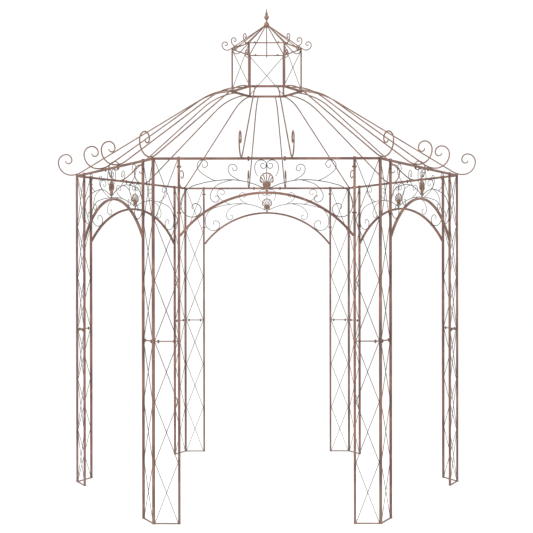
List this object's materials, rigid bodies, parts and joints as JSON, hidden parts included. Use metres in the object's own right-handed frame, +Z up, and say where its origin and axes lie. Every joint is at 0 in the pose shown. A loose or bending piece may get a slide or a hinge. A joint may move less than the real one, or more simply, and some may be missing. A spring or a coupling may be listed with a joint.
{
  "type": "wrought iron garden pavilion",
  "caption": "Hexagonal open garden pavilion with lattice posts, arched panels with scrollwork and shells, a domed cage of rafters and a small open lantern with a finial.",
  "frame": {"origin": "middle of the hexagon at floor level, under the feet", "axes": "+Z up, +X towards a corner post, -Y towards the front arch"},
  "size_m": [3.3, 2.8978, 3.736],
  "materials": {
    "tube_frame": "hammered antique copper brown paint, satin, darker at welds and joints",
    "roof_rods": "antique copper brown paint over bent bar, satin, slightly warmer where it catches light",
    "scroll_rods": "dark brown-black paint over thin bent rod, matt",
    "cast_ornament": "cast relief under antique copper brown paint, satin, darker in the hollows"
  },
  "bodies": {
    "root": {"post_1_corner_leg": "tube_frame", "post_1_left_lattice": "tube_frame", "post_1_right_lattice": "tube_frame", "post_2_corner_leg": "tube_frame", "post_2_left_lattice": "tube_frame", "post_2_right_lattice": "tube_frame", "post_3_corner_leg": "tube_frame", "post_3_left_lattice": "tube_frame", "post_3_right_lattice": "tube_frame", "post_4_corner_leg": "tube_frame", "post_4_left_lattice": "tube_frame", "post_4_right_lattice": "tube_frame", "post_5_corner_leg": "tube_frame", "post_5_left_lattice": "tube_frame", "post_5_right_lattice": "tube_frame", "post_6_corner_leg": "tube_frame", "post_6_left_lattice": "tube_frame", "post_6_right_lattice": "tube_frame", "top_rail_1": "tube_frame", "top_rail_2": "tube_frame", "top_rail_3": "tube_frame", "top_rail_4": "tube_frame", "top_rail_5": "tube_frame", "top_rail_6": "tube_frame", "arch_1": "tube_frame", "arch_2": "tube_frame", "arch_3": "tube_frame", "arch_4": "tube_frame", "arch_5": "tube_frame", "arch_6": "tube_frame", "scrollwork_1": "scroll_rods", "scrollwork_2": "scroll_rods", "scrollwork_3": "scroll_rods", "scrollwork_4": "scroll_rods", "scrollwork_5": "scroll_rods", "scrollwork_6": "scroll_rods", "shells": "cast_ornament", "corner_rafters": "roof_rods", "side_rafters": "roof_rods", "roof_ring": "tube_frame", "lantern_frames": "tube_frame", "lantern_eaves": "roof_rods", "lantern_rafters": "roof_rods", "finial": "cast_ornament"}
  },
  "joints": []
}
